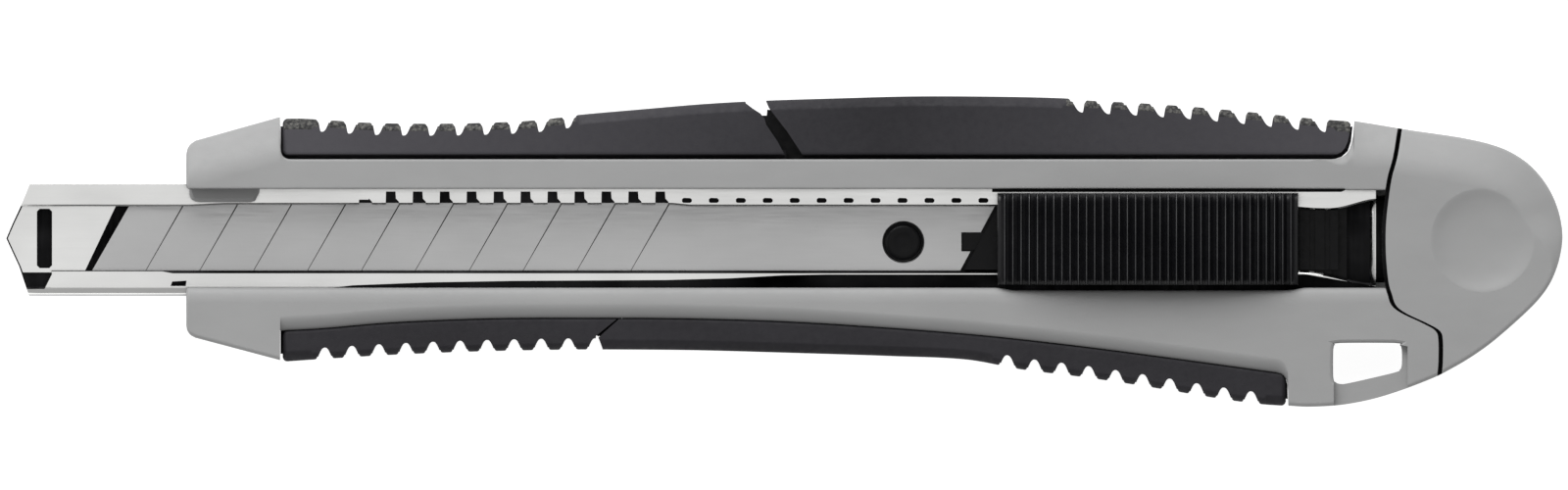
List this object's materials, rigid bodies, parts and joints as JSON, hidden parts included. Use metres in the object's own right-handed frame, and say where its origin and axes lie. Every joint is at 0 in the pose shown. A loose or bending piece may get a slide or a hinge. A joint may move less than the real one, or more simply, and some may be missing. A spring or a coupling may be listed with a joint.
{
  "type": "snap-off knife",
  "caption": "Slim snap-off cutter: steel channel, sliding scored blade, ribbed auto-lock thumb slide, toothed rubber grips and a pull-off end cap",
  "frame": {"origin": "centre of the bounding box in X and Y, on the plane of the flat back face", "axes": "X along the knife with the blade end at -X, Y across it with the lanyard hole at -Y, +Z out of the side that carries the thumb slide"},
  "size_m": [0.1445, 0.0288, 0.0156],
  "materials": {
    "body_plastic": "satin moulded",
    "cap_plastic": "satin moulded",
    "grip_rubber": "matte",
    "channel_steel": "bright plated",
    "blade_steel": "ground and oiled",
    "carrier_plastic": "semi-gloss",
    "slide_plastic": "satin",
    "spring_steel": "tempered",
    "lock_steel": "stamped"
  },
  "bodies": {
    "handle": {"handle_body": "body_plastic", "top_front_grip": "grip_rubber", "top_rear_grip": "grip_rubber", "bottom_front_grip": "grip_rubber", "bottom_rear_grip": "grip_rubber", "blade_channel": "channel_steel"},
    "carriage": {"blade_carrier": "carrier_plastic", "blade": "blade_steel", "lock_spring": "spring_steel"},
    "button": {"thumb_slide": "slide_plastic", "lock_plate": "lock_steel"},
    "cap": {"end_cap": "cap_plastic"}
  },
  "joints": [
    {"name": "blade_slide", "type": "slide", "parent": "handle", "child": "carriage", "axis": [-1, 0, 0], "range_m": [0, 0.06]},
    {"name": "thumb_press", "type": "slide", "parent": "carriage", "child": "button", "axis": [0, 0, -1], "range_m": [0, 0.0007], "stiffness_N_per_m": 300, "springref_m": -0.0035, "deforming": ["lock_spring"]},
    {"name": "cap_pull", "type": "slide", "parent": "handle", "child": "cap", "axis": [1, 0, 0], "range_m": [0, 0.012]}
  ]
}
